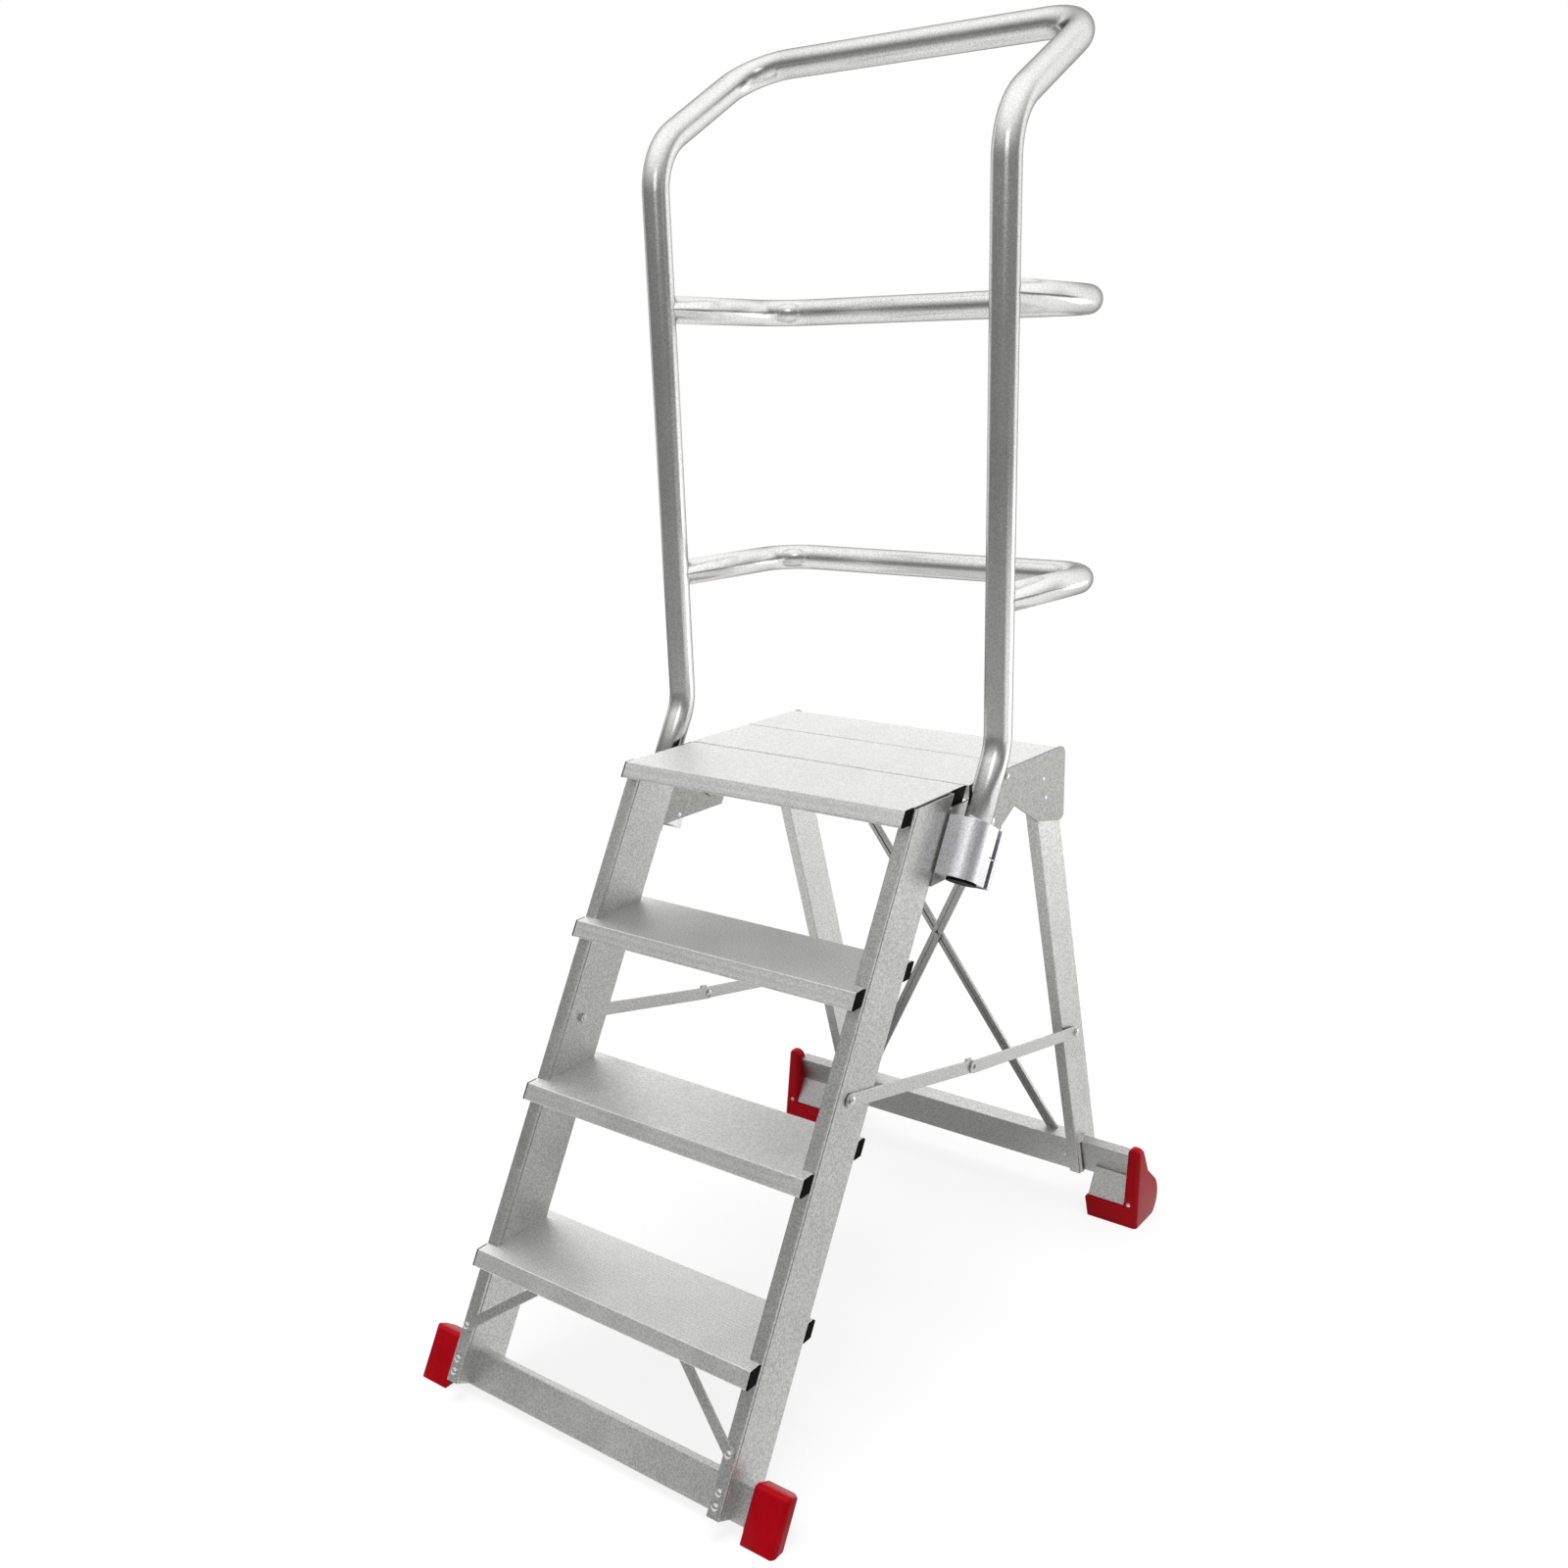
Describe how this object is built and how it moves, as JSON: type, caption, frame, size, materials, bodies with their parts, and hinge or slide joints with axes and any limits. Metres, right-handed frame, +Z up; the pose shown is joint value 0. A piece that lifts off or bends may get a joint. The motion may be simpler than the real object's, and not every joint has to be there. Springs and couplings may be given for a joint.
{
  "type": "warehouse step ladder",
  "caption": "Folding warehouse step ladder with wide treads, a standing platform, a lift-out tubular guardrail, folding spreaders and broad feet.",
  "frame": {"origin": "floor level, at the middle of the overall width and of the overall length", "axes": "+X across the ladder to a climber's right, +Y from the climbing side to the back, +Z up"},
  "size_m": [0.847, 1.1824, 2.0659],
  "materials": {
    "extruded_aluminium": "satin mill finish with fine lengthwise grain",
    "plate_aluminium": "satin mill finish",
    "ribbed_tread": "satin, finely ribbed along its length",
    "bright_tube": "brushed bright tube",
    "flat_bar": "satin flat bar",
    "zinc_steel": "zinc plated",
    "red_foot": "glossy moulded plastic",
    "black_plug": "moulded plastic, slight sheen"
  },
  "bodies": {
    "front_frame": {"brace_rivets": "zinc_steel", "crossbar_bolts": "zinc_steel", "front_crossbar": "extruded_aluminium", "front_foot_left": "red_foot", "front_foot_right": "red_foot", "front_plank": "ribbed_tread", "front_stile_left": "extruded_aluminium", "front_stile_right": "extruded_aluminium", "guardrail_sleeve_left": "plate_aluminium", "guardrail_sleeve_right": "plate_aluminium", "gusset_left": "plate_aluminium", "gusset_right": "plate_aluminium", "nose_caps": "black_plug", "pivot_bolts": "zinc_steel", "pivot_nuts": "zinc_steel", "plank_caps": "black_plug", "sleeve_bolts": "zinc_steel", "sleeve_stops": "black_plug", "spreader_front_bolts": "zinc_steel", "spreader_front_nuts": "zinc_steel", "spreader_front_washers": "zinc_steel", "tread_1": "ribbed_tread", "tread_2": "ribbed_tread", "tread_3": "ribbed_tread", "tread_brace_left": "flat_bar", "tread_brace_right": "flat_bar", "tread_rear_caps": "black_plug"},
    "rear_frame": {"middle_plank": "ribbed_tread", "plank_screws": "zinc_steel", "plate_rivets": "zinc_steel", "rear_crossbar": "extruded_aluminium", "rear_foot_bracket_left": "plate_aluminium", "rear_foot_bracket_right": "plate_aluminium", "rear_foot_left": "red_foot", "rear_foot_right": "red_foot", "rear_leg_left": "extruded_aluminium", "rear_leg_right": "extruded_aluminium", "rear_plank": "ribbed_tread", "rear_side_plate_left": "plate_aluminium", "rear_side_plate_right": "plate_aluminium", "rear_stub_left": "extruded_aluminium", "rear_stub_right": "extruded_aluminium", "spreader_rear_bolts": "zinc_steel", "spreader_rear_nuts": "zinc_steel", "spreader_rear_spacers": "zinc_steel", "stub_bolts": "zinc_steel", "x_brace_front": "flat_bar", "x_brace_rear": "flat_bar", "x_brace_rivet": "zinc_steel"},
    "front_link_left": {"spreader_front_link_left": "flat_bar", "spreader_middle_rivet_left": "zinc_steel"},
    "rear_link_left": {"spreader_rear_link_left": "flat_bar"},
    "front_link_right": {"spreader_front_link_right": "flat_bar", "spreader_middle_rivet_right": "zinc_steel"},
    "rear_link_right": {"spreader_rear_link_right": "flat_bar"},
    "guardrail": {"guardrail_hoop": "bright_tube", "lower_mid_rail": "bright_tube", "upper_mid_rail": "bright_tube"}
  },
  "joints": [
    {"name": "rear_frame_fold", "type": "hinge", "parent": "front_frame", "child": "rear_frame", "pos_m": [0, 0.13304, 0.88], "axis": [1, 0, 0], "range_deg": [-56, 0]},
    {"name": "guardrail_lift", "type": "slide", "parent": "front_frame", "child": "guardrail", "axis": [0, 0.493, 0.87], "range_m": [0, 0.095]},
    {"name": "front_link_left_turn", "type": "hinge", "parent": "front_frame", "child": "front_link_left", "pos_m": [0, -0.25742, 0.552], "axis": [1, 0, 0], "range_deg": [0, 34.5]},
    {"name": "rear_link_left_turn", "type": "hinge", "parent": "rear_frame", "child": "rear_link_left", "pos_m": [0, 0.45961, 0.388], "axis": [1, 0, 0], "range_deg": [-49.5, 0]},
    {"name": "front_link_right_turn", "type": "hinge", "parent": "front_frame", "child": "front_link_right", "pos_m": [0, -0.25742, 0.552], "axis": [1, 0, 0], "range_deg": [0, 34.5]},
    {"name": "rear_link_right_turn", "type": "hinge", "parent": "rear_frame", "child": "rear_link_right", "pos_m": [0, 0.45961, 0.388], "axis": [1, 0, 0], "range_deg": [-49.5, 0]}
  ],
  "couplings": [
    {"joint": "front_link_left_turn", "follows": "rear_frame_fold", "ratio": -0.5998},
    {"joint": "rear_link_left_turn", "follows": "rear_frame_fold", "ratio": 0.86911},
    {"joint": "front_link_right_turn", "follows": "rear_frame_fold", "ratio": -0.5998},
    {"joint": "rear_link_right_turn", "follows": "rear_frame_fold", "ratio": 0.86911}
  ]
}
